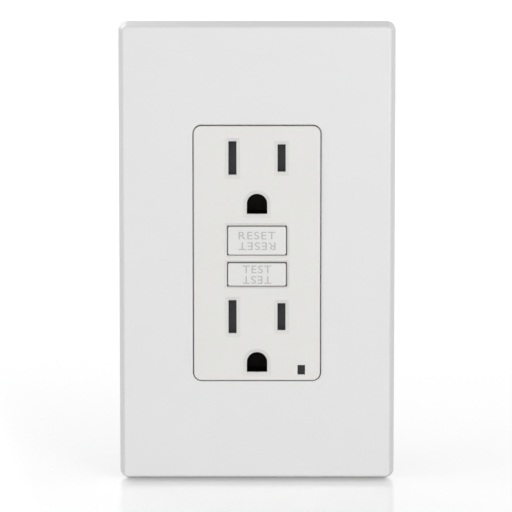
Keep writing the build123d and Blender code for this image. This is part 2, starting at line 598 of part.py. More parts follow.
def terminal_screw(side, z):
    with BuildPart() as screw:
        head = CLAMP_X + CLAMP_T
        tip = TERMINAL_PLATE_X + 0.2
        with BuildSketch(Plane.YZ.offset(side * head)):
            with Locations((TERMINAL_Y, z)):
                Circle(TERMINAL_HEAD_R)
        extrude(amount=side * TERMINAL_HEAD_T)
        chamfer(screw.faces().sort_by(Axis.X)[-1 if side > 0 else 0].edges(), 0.4)
        with BuildSketch(Plane.YZ.offset(side * head)):
            with Locations((TERMINAL_Y, z)):
                Circle(TERMINAL_SCREW_R)
        extrude(amount=-side * (head - tip))
        g0, g1 = sorted((side * (head + TERMINAL_HEAD_T - 0.9), side * (head + TERMINAL_HEAD_T + 1)))
        block(g0, g1, TERMINAL_Y - 4, TERMINAL_Y + 4, z - 0.5, z + 0.5, Mode.SUBTRACT)
        block(g0, g1, TERMINAL_Y - 0.5, TERMINAL_Y + 0.5, z - 1.8, z + 1.8, Mode.SUBTRACT)
    return screw


# ---- Circuit board and what stands on it ----
with BuildPart() as circuit_board:
    with BuildSketch(depth(BOARD_BACK)):
        Rectangle(BOARD_W, BOARD_H)
        Rectangle(2 * POCKET_X - 0.4, 38.0)
        with Locations(((BOARD_W / 2 + 13.2) / 2, LED_Z)):
            Rectangle(13.2 - BOARD_W / 2, 3.0)
        with Locations((0, RESET_Z)):
            Rectangle(LIFTER_W + 0.8, LIFTER_H + 0.8, mode=Mode.SUBTRACT)
        for side in (-1, 1):
            with Locations((side * (POCKET_X - 0.95), -TERMINAL_Z)):
                Rectangle(0.9, 3.2, mode=Mode.SUBTRACT)
            with Locations((side * ARM_X, -7.65)):
                Rectangle(ARM_W + 0.2, 0.7, mode=Mode.SUBTRACT)
        with Locations((-5.4, TEST_Z), (1.3, TEST_Z)):
            Rectangle(0.7, 2.2, mode=Mode.SUBTRACT)
    extrude(amount=BOARD_T)

with BuildPart() as transformer_case:
    pin(0, CORE_Z, CORE_R, BOARD_BACK, 25.4)
    round_cut(0, CORE_Z, 3.0, BOARD_BACK - 1, 26)
    with BuildSketch(depth(24.6)):
        with Locations((0, CORE_Z)):
            Circle(CORE_R - 0.8)
            Circle(3.8, mode=Mode.SUBTRACT)
    extrude(amount=24.6 - BOARD_BACK, mode=Mode.SUBTRACT)

with BuildPart() as transformer_core:
    with BuildSketch(depth(24.6)):
        with Locations((0, CORE_Z)):
            Circle(CORE_R - 0.9)
            Circle(3.9, mode=Mode.SUBTRACT)
    extrude(amount=7.6)
    fillet(transformer_core.edges().filter_by(GeomType.CIRCLE), 0.9)

coil_y = BOARD_BACK + BOBBIN_R


def ring_along_z(z0, z1, outer, inner):
    with BuildSketch(Plane.XY.offset(z0)) as ring:
        with Locations((0, coil_y)):
            Circle(outer)
            Circle(inner, mode=Mode.SUBTRACT)
    extrude(ring.sketch, amount=z1 - z0)


with BuildPart() as solenoid_bobbin:
    ring_along_z(COIL_Z0, COIL_Z1, 2.4, 1.75)
    ring_along_z(COIL_Z0, COIL_Z0 + 1.0, BOBBIN_R, 1.75)
    ring_along_z(COIL_Z1 - 1.0, COIL_Z1, BOBBIN_R, 1.75)

with BuildPart() as solenoid_coil:
    ring_along_z(COIL_Z0 + 1.05, COIL_Z1 - 1.05, BOBBIN_R - 0.4, 2.45)

with BuildPart() as solenoid_frame:
    frame_y = coil_y + BOBBIN_R
    block(-BOBBIN_R, BOBBIN_R, frame_y, frame_y + 0.8, COIL_Z0 - 1.0, COIL_Z1 + 1.0)
    for z in (COIL_Z0 - 1.0, COIL_Z1):
        block(-BOBBIN_R, BOBBIN_R, BOARD_BACK, frame_y, z, z + 1.0)
    with BuildSketch(Plane.XY.offset(COIL_Z0 - 2)):
        with Locations((0, coil_y)):
            Circle(1.75)
    extrude(amount=COIL_Z1 - COIL_Z0 + 4, mode=Mode.SUBTRACT)

with BuildPart() as plunger:
    with BuildSketch(Plane.XY.offset(8.6)):
        with Locations((0, coil_y)):
            Circle(1.6)
    extrude(amount=20.2)
    with BuildSketch(Plane.XY.offset(28.8)):
        with Locations((0, coil_y)):
            Circle(2.8)
    extrude(amount=0.9)

plunger_spring = coil_spring((0, coil_y, COIL_Z1 + 1.3), (0, 0, 1), 2.2, 0.4, 2.7, 3)

# ---- Latch and contacts ----
with BuildPart() as lifter_block:
    block(-LIFTER_W / 2, LIFTER_W / 2, LIFTER_Y0, LIFTER_Y1, RESET_Z - LIFTER_H / 2, RESET_Z + LIFTER_H / 2)
    tab = ARM_X + ARM_W / 2
    block(-tab, tab, LIFTER_Y0, LIFTER_Y0 + 1.4, RESET_Z - 1.5, RESET_Z + 1.5)
    round_cut(0, RESET_Z, STEM_R + RUNNING, LIFTER_Y0 - 1, LIFTER_Y1 + 1)
    block(-2.9, 2.9, LATCH_Y - 0.1, LATCH_Y + LATCH_T + 0.1, RESET_Z - 5, RESET_Z + 5, Mode.SUBTRACT)
    # notch that the latch plate's bent tab moves into
    block(-TAB_HALF - 0.2, TAB_HALF + 0.2, LATCH_Y, LIFTER_Y1 + 1,
          TAB_Z - LATCH_TRAVEL - 0.2, RESET_Z + LIFTER_H, Mode.SUBTRACT)

with BuildPart() as latch_plate:
    block(-2.7, 2.7, LATCH_Y, LATCH_Y + LATCH_T, RESET_Z - 3.2, TAB_Z + LATCH_T)
    window_end = RESET_Z + STEM_R + LATCH_TRAVEL + 0.15
    block(-1.8, 1.8, LATCH_Y - 1, LATCH_Y + 2, RESET_Z - 1.05, window_end, Mode.SUBTRACT)
    block(-TAB_HALF, TAB_HALF, LATCH_Y, coil_y + 1.6, TAB_Z, TAB_Z + LATCH_T)


def contact_arm(side):
    x0, x1 = sorted((side * (ARM_X - ARM_W / 2), side * (ARM_X + ARM_W / 2)))
    y0 = LIFTER_Y0 - 0.1 - ARM_T
    with BuildPart() as arm:
        block(x0, x1, y0, y0 + ARM_T, -7.9, RESET_Z + 1.2)
        block(x0, x1, y0, BOARD_BACK + 0.6, -7.9, -7.5)
    return arm


arm_front = LIFTER_Y0 - 0.1 - ARM_T
contact_mid = (7.4 + arm_front) / 2
with BuildPart() as fixed_contacts:
    for x in (-ARM_X, ARM_X):
        pin(x, RESET_Z, 0.75, 7.4, contact_mid)

with BuildPart() as moving_contacts:
    for x in (-ARM_X, ARM_X):
        pin(x, RESET_Z, 0.75, contact_mid, arm_front)

with BuildPart() as test_leaf:
    block(-5.6, 1.5, test_end + 0.1, test_end + 0.5, TEST_Z - 1, TEST_Z + 1)
    block(-5.6, -5.2, test_end + 0.1, BOARD_BACK + 0.6, TEST_Z - 1, TEST_Z + 1)

with BuildPart() as test_post:
    block(1.05, 1.55, test_end + 1.6, BOARD_BACK + 0.6, TEST_Z - 1, TEST_Z + 1)

# ---- Small board parts ----
with BuildPart() as varistor:
    with BuildSketch(Plane.YZ.offset(7.0)):
        with Locations((BOARD_BACK + 4.0, 0)):
            Circle(3.9)
    extrude(amount=3.0)

with BuildPart() as filter_capacitor:
    block(-10.4, -5.4, BOARD_BACK, BOARD_BACK + 7.5, -4.0, 6.0)

with BuildPart() as control_chip:
    block(-9.6, -4.6, BOARD_BACK, BOARD_BACK + 1.5, 20.0, 27.0)

with BuildPart() as rectifier:
    block(5.8, 9.8, BOARD_BACK, BOARD_BACK + 2.2, 12.0, 18.0)

with BuildPart() as resistors:
    for z in (21.0, 23.5, 26.0):
        block(6.2, 9.4, BOARD_BACK, BOARD_BACK + 0.6, z - 0.8, z + 0.8)

sides = {"hot": 1, "neutral": -1}
pieces = {
    "plate_cover": plate_cover,
    "subplate": subplate,
    "plate_screws": plate_screws,
    "front_cover": front_cover,
    "reset_button": reset_button,
    "reset_spring": reset_spring,
    "test_button": test_button,
    "test_spring": test_spring,
    "led_lens": led_lens,
    "status_led": status_led,
    "upper_shutter_tray": upper_shutter_tray,
    "lower_shutter_tray": lower_shutter_tray,
    "upper_shutter": upper_shutter,
    "lower_shutter": lower_shutter,
    "upper_shutter_spring": upper_shutter_spring,
    "lower_shutter_spring": lower_shutter_spring,
    "mounting_strap": mounting_strap,
    "ground_screw": ground_screw,
    "ground_contacts": ground_contacts,
    "ground_rivets": ground_rivets,
    "mounting_screws": mounting_screws,
    "screw_retainers": screw_retainers,
    "rear_housing": rear_housing,
    "housing_screws": housing_screws,
    "contact_carrier": contact_carrier,
    "circuit_board": circuit_board,
    "transformer_case": transformer_case,
    "transformer_core": transformer_core,
    "solenoid_bobbin": solenoid_bobbin,
    "solenoid_coil": solenoid_coil,
    "solenoid_frame": solenoid_frame,
    "plunger": plunger,
    "plunger_spring": plunger_spring,
    "lifter_block": lifter_block,
    "latch_plate": latch_plate,
    "fixed_contacts": fixed_contacts,
    "moving_contacts": moving_contacts,
    "test_leaf": test_leaf,
    "test_post": test_post,
    "varistor": varistor,
    "filter_capacitor": filter_capacitor,
    "control_chip": control_chip,
    "rectifier": rectifier,
    "resistors": resistors,
}
for wire, side in sides.items():
    pieces[f"{wire}_contact_strip"] = contact_strip(side)
    pieces[f"{wire}_contact_arm"] = contact_arm(side)
    pieces[f"line_{wire}_terminal"] = line_terminal(side)
    for end, z in (("line", -TERMINAL_Z), ("load", TERMINAL_Z)):
        pieces[f"{end}_{wire}_clamp"] = clamp_plate(side, z)
        pieces[f"{end}_{wire}_screw"] = terminal_screw(side, z)
export_all(pieces)
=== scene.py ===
# %% [markdown]
# # A protected wall outlet
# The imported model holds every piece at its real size, from the wall plate to the parts on the circuit board.
# This lesson gives each piece its finish, adds the moulded words and the threaded device screws, and lights
# the outlet as it stands on a pale floor.
#
# The model is loaded first, so that every place below can be read from it. Typing the places in again would
# also work, but they would be wrong as soon as a size changed.

# %% Load the frame
import bmesh
import bpy
import json
import math
from mathutils import Matrix, Vector


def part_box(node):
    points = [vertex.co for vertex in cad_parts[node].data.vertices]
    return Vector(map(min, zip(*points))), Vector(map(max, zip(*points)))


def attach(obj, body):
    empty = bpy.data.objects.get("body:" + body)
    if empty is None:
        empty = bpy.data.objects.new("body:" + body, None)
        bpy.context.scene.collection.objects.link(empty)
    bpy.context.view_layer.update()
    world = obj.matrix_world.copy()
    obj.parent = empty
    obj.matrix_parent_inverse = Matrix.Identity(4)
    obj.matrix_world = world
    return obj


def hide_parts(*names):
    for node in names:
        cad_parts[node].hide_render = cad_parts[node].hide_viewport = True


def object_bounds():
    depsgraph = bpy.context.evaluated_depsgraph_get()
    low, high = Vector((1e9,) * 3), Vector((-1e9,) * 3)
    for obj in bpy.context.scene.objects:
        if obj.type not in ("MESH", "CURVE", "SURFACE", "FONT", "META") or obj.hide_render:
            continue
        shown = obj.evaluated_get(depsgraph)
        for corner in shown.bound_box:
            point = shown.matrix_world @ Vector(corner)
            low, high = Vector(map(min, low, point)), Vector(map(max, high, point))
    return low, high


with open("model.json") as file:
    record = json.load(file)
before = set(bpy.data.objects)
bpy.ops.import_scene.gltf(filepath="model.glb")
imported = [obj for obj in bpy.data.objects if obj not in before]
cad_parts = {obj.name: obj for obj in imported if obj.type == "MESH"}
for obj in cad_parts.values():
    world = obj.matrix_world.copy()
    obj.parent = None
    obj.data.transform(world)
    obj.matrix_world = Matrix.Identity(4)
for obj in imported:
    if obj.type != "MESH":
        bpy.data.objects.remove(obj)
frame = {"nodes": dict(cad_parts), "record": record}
cad_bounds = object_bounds()
nodes = frame["nodes"]
MM = 0.001
print("pieces in the frame:", len(nodes))

# %% [markdown]
# Moulded plastic and rolled metal are never one even colour. Seen close, the colour drifts a little over
# millimetres, and a grain of tenths of a millimetre breaks up the gloss. An image could carry this, but it
# would need unwrapping and would blur up close. Noise on Object coordinates has no seams. Those coordinates
# are in metres, so a grain of 0.4 mm needs a noise scale of 1 / 0.0004.

# %% Helper: noise at a real size
PATCH_DETAIL = 4.0
GRAIN_DETAIL = 3.0


def grain_texture(tree, size, detail, stretch=(1, 1, 1)):
    """Noise whose blobs are about size metres across, stretched along an axis for brushed metal."""
    coords = tree.nodes.new("ShaderNodeTexCoord")
    mapping = tree.nodes.new("ShaderNodeMapping")
    mapping.inputs["Scale"].default_value = stretch
    tree.links.new(coords.outputs["Object"], mapping.inputs["Vector"])
    noise = tree.nodes.new("ShaderNodeTexNoise")
    noise.inputs["Scale"].default_value = 1.0 / size
    noise.inputs["Detail"].default_value = detail
    tree.links.new(mapping.outputs["Vector"], noise.inputs["Vector"])
    return noise.outputs["Fac"]


print("noise detail:", PATCH_DETAIL, "for patches,", GRAIN_DETAIL, "for grain")

# %% [markdown]
# The noise then has to become a colour. A ramp between a low and a high colour keeps both ends in view, and
# its two stops decide how soft the patches are.

# %% Helper: colour from noise
SOFT_START = 0.3
SOFT_END = 0.7


def ramp(tree, source, low, high):
    """Colour ramp from low to high over the middle of the noise."""
    node = tree.nodes.new("ShaderNodeValToRGB")
    for stop, place, colour in zip(node.color_ramp.elements, (SOFT_START, SOFT_END), (low, high)):
        stop.position = place
        stop.color = (*colour, 1)
    tree.links.new(source, node.inputs["Fac"])
    return node.outputs["Color"]


print("ramp from", SOFT_START, "to", SOFT_END)

# %% [markdown]
# Handling wears a screw or a sheet edge bright before it marks the flat faces. Geometry's Pointiness is high
# on convex edges, so it can drive a mix towards a lighter colour. Painting the edges by hand would give the
# same look, but not for a mesh that may still change.

# %% Helper: bright worn edges
EDGE_START = 0.52
EDGE_END = 0.62
WORN_GAIN = 1.25
WORN_LIFT = 0.03


def worn_edges(tree, base, colour, wear):
    """The base colour, mixed by up to wear towards a lighter one on convex edges."""
    geometry = tree.nodes.new("ShaderNodeNewGeometry")
    edge = tree.nodes.new("ShaderNodeMapRange")
    edge.inputs["From Min"].default_value = EDGE_START
    edge.inputs["From Max"].default_value = EDGE_END
    tree.links.new(geometry.outputs["Pointiness"], edge.inputs["Value"])
    scuff = tree.nodes.new("ShaderNodeMath")
    scuff.operation = "MULTIPLY"
    scuff.inputs[1].default_value = wear
    tree.links.new(edge.outputs["Result"], scuff.inputs[0])
    mix = tree.nodes.new("ShaderNodeMix")
    mix.data_type = "RGBA"
    mix.inputs["B"].default_value = (*[min(1.0, c * WORN_GAIN + WORN_LIFT) for c in colour], 1)
    tree.links.new(scuff.outputs[0], mix.inputs["Factor"])
    tree.links.new(base, mix.inputs["A"])
    return mix.outputs["Result"]


print("wear starts at a pointiness of", EDGE_START)

# %% [markdown]
# Every finish is built from the same steps: a base colour broken up by soft patches, worn edges where the
# piece is handled, a fine grain that changes the roughness, and a bump as deep as a share of the grain. One
# helper keeps the steps the same, so that two finishes differ only in the values they are given.

# %% Helper: a whole finish
def finish(name, colour, vary=0.03, rough=(0.35, 0.45), metallic=0.0, patch=0.012, grain=0.0004,
           bump=0.02, stretch=(1, 1, 1), tint=(1, 1, 1), wear=0.0):
    """A finish: patches and grain in metres, bump as a share of the grain, tint on the darker patches."""
    material = bpy.data.materials.new(name)
    material.use_nodes = True
    tree = material.node_tree
    shader = tree.nodes["Principled BSDF"]
    shader.inputs["Metallic"].default_value = metallic
    low = tuple(max(0.0, c * (1 - vary) * t) for c, t in zip(colour, tint))
    high = tuple(min(1.0, c * (1 + vary)) for c in colour)
    base = ramp(tree, grain_texture(tree, patch, PATCH_DETAIL), low, high)
    if wear:
        base = worn_edges(tree, base, colour, wear)
    tree.links.new(base, shader.inputs["Base Color"])
    fine = grain_texture(tree, grain, GRAIN_DETAIL, stretch)
    level = tree.nodes.new("ShaderNodeMapRange")
    level.inputs["To Min"].default_value = rough[0]
    level.inputs["To Max"].default_value = rough[1]
    tree.links.new(fine, level.inputs["Value"])
    tree.links.new(level.outputs["Result"], shader.inputs["Roughness"])
    relief = tree.nodes.new("ShaderNodeBump")
    relief.inputs["Strength"].default_value = 1.0
    relief.inputs["Distance"].default_value = grain * bump
    tree.links.new(fine, relief.inputs["Height"])
    tree.links.new(relief.outputs["Normal"], shader.inputs["Normal"])
    return material


finishes = {}
print("finish helper ready")

# %% [markdown]
# The plate and the device face are white thermoplastic: a satin gloss with a very fine spark-eroded grain,
# the face a touch warmer than the plate, and the plate the glossier of the two. They vary so little in
# colour that only a raking light shows it.

# %% White plastics
WHITE_PLASTICS = {
    "plate_white": dict(colour=(0.775, 0.775, 0.775), vary=0.006, rough=(0.30, 0.40), grain=0.0003,
                        bump=0.03),
    "device_white": dict(colour=(0.765, 0.76, 0.74), vary=0.008, rough=(0.34, 0.46), grain=0.00025,
                         bump=0.04),
    "button_white": dict(colour=(0.76, 0.76, 0.745), vary=0.008, rough=(0.36, 0.48), grain=0.00022,
                         bump=0.04),
    "white_plastic": dict(colour=(0.72, 0.71, 0.68), vary=0.02, rough=(0.45, 0.6), bump=0.05),
}
for name, look in WHITE_PLASTICS.items():
    finishes[name] = finish(name, **look)
print("white plastics:", len(WHITE_PLASTICS))

# %% [markdown]
# Behind the face the plastics are working materials: a grey, rather dull housing with a coarse grain, black
# carriers, and dark shutters that are all that shows in the blade slots. The small window over the lamp is
# the only really glossy one.

# %% Grey and black plastics
DARK_PLASTICS = {
    "grey_plastic": dict(colour=(0.55, 0.55, 0.54), rough=(0.5, 0.62), bump=0.06),
    "shutter_grey": dict(colour=(0.075, 0.077, 0.08), vary=0.06, rough=(0.4, 0.55), grain=0.0003, bump=0.05),
    "housing_grey": dict(colour=(0.33, 0.34, 0.36), vary=0.04, rough=(0.48, 0.66), grain=0.00045, bump=0.12,
                         wear=0.25),
    "carrier_black": dict(colour=(0.05, 0.05, 0.055), vary=0.08, rough=(0.45, 0.6), bump=0.08),
    "black_plastic": dict(colour=(0.03, 0.03, 0.032), vary=0.1, rough=(0.4, 0.6), grain=0.0003, bump=0.08),
    "dark_lens": dict(colour=(0.012, 0.012, 0.013), vary=0.1, rough=(0.08, 0.16), grain=0.0008, bump=0.01),
}
for name, look in DARK_PLASTICS.items():
    finishes[name] = finish(name, **look)
print("grey and black plastics:", len(DARK_PLASTICS))

# %% [markdown]
# The parts on the board have the colours that such parts are sold in: a blue dipped varistor, a yellow film
# capacitor, a green board. The screw retainers are punched from fibre sheet, so their patches are small and
# their grain is drawn out along the sheet.

# %% Finishes of the parts on the board
BOARD_FINISHES = {
    "bobbin_plastic": dict(colour=(0.6, 0.56, 0.47), vary=0.04, rough=(0.4, 0.55), bump=0.05),
    "led_body": dict(colour=(0.8, 0.78, 0.62), rough=(0.3, 0.4), grain=0.0003),
    "varistor_blue": dict(colour=(0.03, 0.1, 0.38), vary=0.1, rough=(0.25, 0.4), grain=0.0009, bump=0.1),
    "capacitor_yellow": dict(colour=(0.72, 0.47, 0.06), vary=0.05, rough=(0.3, 0.45), grain=0.0006,
                             bump=0.06),
    "fibre": dict(colour=(0.62, 0.57, 0.45), vary=0.12, rough=(0.75, 0.9), patch=0.0015, grain=0.0002,
                  bump=0.3, stretch=(1, 1, 0.25)),
    "board_green": dict(colour=(0.015, 0.13, 0.05), vary=0.15, rough=(0.25, 0.4), grain=0.0006, bump=0.05),
}
for name, look in BOARD_FINISHES.items():
    finishes[name] = finish(name, **look)
print("board finishes:", len(BOARD_FINISHES))

# %% [markdown]
# The strap and its screws are zinc-plated steel: grey with a faint blue and straw tint, and rolling lines
# along the sheet. Noise that is stretched along one axis makes rolling and turning lines without any image.
# The ground screw is dyed green, and its edges show bare metal first.

# %% Steels
METAL_GRAIN = 0.0002
STEELS = {
    "zinc_steel": dict(colour=(0.60, 0.61, 0.63), vary=0.08, rough=(0.26, 0.42), patch=0.006, bump=0.06,
                       stretch=(1, 1, 0.08), tint=(1.03, 1.0, 0.9), wear=0.4),
    "bright_steel": dict(colour=(0.62, 0.62, 0.63), vary=0.04, rough=(0.16, 0.3), patch=0.006, bump=0.05,
                         stretch=(1, 1, 0.1)),
    "spring_steel": dict(colour=(0.5, 0.5, 0.51), vary=0.06, rough=(0.2, 0.35), patch=0.003, bump=0.04),
}
for name, look in STEELS.items():
    finishes[name] = finish(name, metallic=1.0, grain=METAL_GRAIN, **look)
finishes["green_steel"] = finish("green_steel", (0.02, 0.27, 0.09), vary=0.12, rough=(0.25, 0.4),
                                 metallic=0.85, patch=0.004, grain=0.0003, bump=0.05, wear=0.5)
finishes["core_dark"] = finish("core_dark", (0.06, 0.065, 0.07), vary=0.1, rough=(0.3, 0.5),
                               metallic=0.2, patch=0.004, grain=0.0004, bump=0.1)
print("finishes so far:", len(finishes))

# %% [markdown]
# The terminals and contacts are brass, the hot side's screws brass too and the neutral side's silvery, so
# that an electrician can tell them apart. The contact arms are a redder copper alloy that stays springy, and
# the coil is bare-looking enamelled copper whose stretched grain stands for its turns of wire.

# %% Brass, silver and copper
CONTACT_METALS = {
    "brass": dict(colour=(0.76, 0.55, 0.24), vary=0.06, rough=(0.22, 0.38), patch=0.005, bump=0.05,
                  stretch=(1, 1, 0.12), tint=(0.98, 0.93, 0.85)),
    "brass_screw": dict(colour=(0.80, 0.60, 0.27), vary=0.05, rough=(0.2, 0.34), patch=0.004, bump=0.05,
                        stretch=(0.2, 1, 1), tint=(0.98, 0.93, 0.85), wear=0.4),
    "silver_screw": dict(colour=(0.68, 0.68, 0.67), vary=0.05, rough=(0.2, 0.34), patch=0.004, bump=0.05,
                         stretch=(0.2, 1, 1), tint=(1, 0.99, 0.95), wear=0.4),
    "silver": dict(colour=(0.78, 0.77, 0.74), vary=0.05, rough=(0.3, 0.42), patch=0.002, bump=0.05),
    "copper": dict(colour=(0.52, 0.17, 0.06), vary=0.1, rough=(0.25, 0.35), patch=0.004, bump=0.2,
                   stretch=(0.2, 0.2, 1)),
    "copper_spring": dict(colour=(0.74, 0.42, 0.22), vary=0.06, rough=(0.2, 0.34), patch=0.004, bump=0.04),
}
for name, look in CONTACT_METALS.items():
    finishes[name] = finish(name, metallic=1.0, grain=METAL_GRAIN, **look)
print("all finishes:", len(finishes))

# %% [markdown]
# The record names a material slot for each piece, and the finishes above carry the same names. So one loop
# dresses the whole frame, and a slot that has no finish stops the script with its name.

# %% Dress the frame
slot_of = {sub["node"]: sub["material_slot"] for sub in frame["record"]["subparts"]}
for node, thing in nodes.items():
    thing.data.materials.clear()
    thing.data.materials.append(finishes[slot_of[node]])
print("pieces dressed:", len(nodes))

# %% [markdown]
# The two buttons carry moulded words, one line upright and one turned round, so that they read with the outlet
# mounted either way up. Modelling each stroke would be slow, and a bump would vanish from the exported
# mesh. A text curve with a little depth becomes a mesh first. Then its place is written into the mesh, a hair
# proud of the button. The letters are painted a darker grey than the button. This is painted shade that stands
# in for the shading of the relief, where the real letters are the same white plastic as the button.

# %% Helper: text as a mesh
LETTER_GAP = 1.12
LETTER_STEPS = 6


def text_mesh(name, text):
    """The letters as a mesh of any size, centred on the origin, and their size."""
    curve = bpy.data.curves.new(name, "FONT")
    curve.body = text
    curve.extrude = 0.5
    curve.resolution_u = LETTER_STEPS
    curve.space_character = LETTER_GAP
    maker = bpy.data.objects.new(name + "_curve", curve)
    bpy.context.scene.collection.objects.link(maker)
    bpy.context.view_layer.update()
    mesh = bpy.data.meshes.new_from_object(maker.evaluated_get(bpy.context.evaluated_depsgraph_get()))
    bpy.data.objects.remove(maker)
    low = Vector([min(v.co[i] for v in mesh.vertices) for i in range(3)])
    high = Vector([max(v.co[i] for v in mesh.vertices) for i in range(3)])
    mesh.transform(Matrix.Translation(-(low + high) / 2))
    return mesh, high - low


print("letter spacing:", LETTER_GAP)

# %% Helper: a moulded word
LETTER_RELIEF = 0.07 * MM
LETTER_SINK = 0.03 * MM
# Painted shade: the letters get a mid grey, darker than the white button, to stand in for the shading of their
# relief.
words_painted_shade = finish("words_painted_shade", (0.50, 0.50, 0.49), vary=0.02, rough=(0.42, 0.55), grain=0.00022,
                     bump=0.04)


def word(name, text, width, height, centre_z, face_y, turned, body):
    """Raised letters, width by height metres, centred at x = 0 on the face at face_y."""
    mesh, size = text_mesh(name, text)
    thickness = LETTER_RELIEF + LETTER_SINK
    mesh.transform(Matrix.Diagonal((width / size.x, height / size.y, thickness / size.z, 1)))
    if turned:
        mesh.transform(Matrix.Rotation(math.pi, 4, "Z"))
    mesh.transform(Matrix.Rotation(math.pi / 2, 4, "X"))
    mesh.transform(Matrix.Translation((0, face_y + LETTER_SINK - thickness / 2, centre_z)))
    piece = bpy.data.objects.new(name, mesh)
    bpy.context.scene.collection.objects.link(piece)
    mesh.materials.clear()
    mesh.materials.append(words_painted_shade)
    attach(piece, body)
    return piece


print("letters stand", round(LETTER_RELIEF / MM, 2), "mm proud")

# %% Words on both buttons
CAP_HEIGHT = 2.0 * MM
LINE_OFFSET = 1.38 * MM
BUTTON_WORDS = (("RESET", "reset_button", "reset", 9.5 * MM), ("TEST", "test_button", "test", 7.4 * MM))
words = []
for text, node, body, width in BUTTON_WORDS:
    low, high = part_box(node)
    middle_z = (low[2] + high[2]) / 2
    for turned in (False, True):
        offset = -LINE_OFFSET if turned else LINE_OFFSET
        name = f"{text.lower()}_word" + ("_turned" if turned else "")
        words.append(word(name, text, width, CAP_HEIGHT, middle_z + offset, low[1], turned, body))
print("words made:", len(words))

# %% [markdown]
# The two long device screws show behind the plate. A real one has a rolled thread, so the plain cylinder in
# the frame is replaced. A ring per turn would be simple, but a thread climbs. Geometry Nodes sweep a small
# ridge along a spiral whose turns come from the length and the pitch, round a plain core. The sizes are named
# inputs, so one tree can make a screw of any length.

# %% Thread: the ridge
SPIRAL_STEPS = 24
RIDGE_SIDES = 4


def add_ridge(tree, given):
    """The swept ridge: Length / Pitch turns at the core's radius, as high as Crest less Core."""
    make, link = tree.nodes.new, tree.links.new
    turns = make("ShaderNodeMath")
    turns.operation = "DIVIDE"
    link(given.outputs["Length"], turns.inputs[0])
    link(given.outputs["Pitch"], turns.inputs[1])
    spiral = make("GeometryNodeCurveSpiral")
    spiral.inputs["Resolution"].default_value = SPIRAL_STEPS
    link(turns.outputs[0], spiral.inputs["Rotations"])
    link(given.outputs["Length"], spiral.inputs["Height"])
    for end in ("Start Radius", "End Radius"):
        link(given.outputs["Core"], spiral.inputs[end])
    height = make("ShaderNodeMath")
    height.operation = "SUBTRACT"
    link(given.outputs["Crest"], height.inputs[0])
    link(given.outputs["Core"], height.inputs[1])
    profile = make("GeometryNodeCurvePrimitiveCircle")
    profile.inputs["Resolution"].default_value = RIDGE_SIDES
    link(height.outputs[0], profile.inputs["Radius"])
    sweep = make("GeometryNodeCurveToMesh")
    sweep.inputs["Fill Caps"].default_value = True
    link(spiral.outputs["Curve"], sweep.inputs["Curve"])
    link(profile.outputs["Curve"], sweep.inputs["Profile Curve"])
    return sweep.outputs["Mesh"]


print("spiral steps per turn:", SPIRAL_STEPS)

# %% Thread: the core
CORE_SIDES = 32


def add_core(tree, given):
    """The plain core, moved up by half its length so that it starts at the origin."""
    make, link = tree.nodes.new, tree.links.new
    core = make("GeometryNodeMeshCylinder")
    core.inputs["Vertices"].default_value = CORE_SIDES
    link(given.outputs["Core"], core.inputs["Radius"])
    link(given.outputs["Length"], core.inputs["Depth"])
    half = make("ShaderNodeMath")
    half.operation = "MULTIPLY"
    half.inputs[1].default_value = 0.5
    link(given.outputs["Length"], half.inputs[0])
    up = make("ShaderNodeCombineXYZ")
    link(half.outputs[0], up.inputs["Z"])
    lift = make("GeometryNodeTransform")
    link(core.outputs["Mesh"], lift.inputs["Geometry"])
    link(up.outputs["Vector"], lift.inputs["Translation"])
    return lift.outputs["Geometry"]


print("core sides:", CORE_SIDES)

# %% Thread: the whole tree
def thread_tree(material):
    """Node tree with named inputs: length, core radius, crest radius and pitch, in metres."""
    tree = bpy.data.node_groups.new("screw_thread", "GeometryNodeTree")
    for name in ("Length", "Core", "Crest", "Pitch"):
        tree.interface.new_socket(name, in_out="INPUT", socket_type="NodeSocketFloat")
    tree.interface.new_socket("Geometry", in_out="OUTPUT", socket_type="NodeSocketGeometry")
    make, link = tree.nodes.new, tree.links.new
    given = make("NodeGroupInput")
    join = make("GeometryNodeJoinGeometry")
    link(add_ridge(tree, given), join.inputs["Geometry"])
    link(add_core(tree, given), join.inputs["Geometry"])
    real = make("GeometryNodeRealizeInstances")
    link(join.outputs["Geometry"], real.inputs["Geometry"])
    paint = make("GeometryNodeSetMaterial")
    paint.inputs["Material"].default_value = material
    link(real.outputs["Geometry"], paint.inputs["Geometry"])
    result = make("NodeGroupOutput")
    link(paint.outputs["Geometry"], result.inputs["Geometry"])
    return tree


rod_tree = thread_tree(finishes["zinc_steel"])
print("inputs:", [item.name for item in rod_tree.interface.items_tree])

# %% [markdown]
# A modifier keeps a tree's inputs under the sockets' identifiers, not their names. They are set before the
# object is first evaluated, and the result is taken out as a plain mesh, because an export drops instances.

# %% Helper: a threaded rod from the tree
def threaded_rod(tree, length, core, crest, pitch):
    """A plain mesh of the thread, along +Z from the origin."""
    holder = bpy.data.objects.new("thread_maker", bpy.data.meshes.new("thread_maker"))
    bpy.context.scene.collection.objects.link(holder)
    modifier = holder.modifiers.new("thread", "NODES")
    modifier.node_group = tree
    sizes = {"Length": length, "Core": core, "Crest": crest, "Pitch": pitch}
    for item in tree.interface.items_tree:
        if item.in_out == "INPUT":
            modifier[item.identifier] = sizes[item.name]
    bpy.context.view_layer.update()
    mesh = bpy.data.meshes.new_from_object(holder.evaluated_get(bpy.context.evaluated_depsgraph_get()))
    bpy.data.objects.remove(holder)
    return mesh


print("sizes by socket identifier")

# %% [markdown]
# A screw head is turned on a lathe, so it is made as on one: a half outline spun about the axis. The driver
# slot is then cut across it by a Boolean, as the saw does. A slot modelled into the spun faces by hand would
# leave long thin triangles on the dome.

# %% Helper: the turned blank
TURN_STEPS = 48
MERGE = 1e-7


